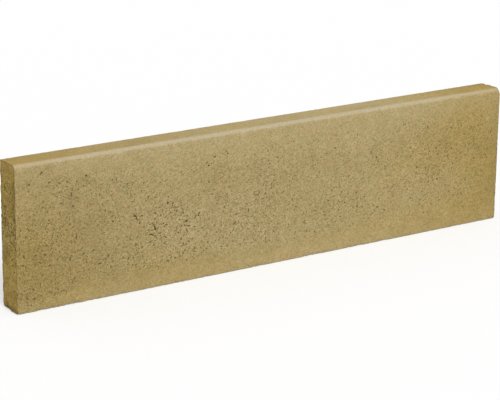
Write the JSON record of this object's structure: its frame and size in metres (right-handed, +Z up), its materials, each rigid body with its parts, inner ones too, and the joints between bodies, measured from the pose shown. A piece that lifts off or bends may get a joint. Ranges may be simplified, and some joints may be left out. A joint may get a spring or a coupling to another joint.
{
  "type": "concrete lawn edging kerb",
  "caption": "Straight concrete edging kerb for lawns and paths, stood on edge, with a narrow bevel along one long top edge and plain square ends.",
  "frame": {"origin": "middle of the underside, on the level that the kerb stands on", "axes": "+X along the kerb, +Y across its thickness from the bevelled front face to the plain back face, +Z up"},
  "size_m": [1, 0.05, 0.25],
  "materials": {
    "concrete": "rough sandy pressed concrete, buff, with small open pores"
  },
  "bodies": {
    "root": {"edging_kerb": "concrete"}
  },
  "joints": []
}
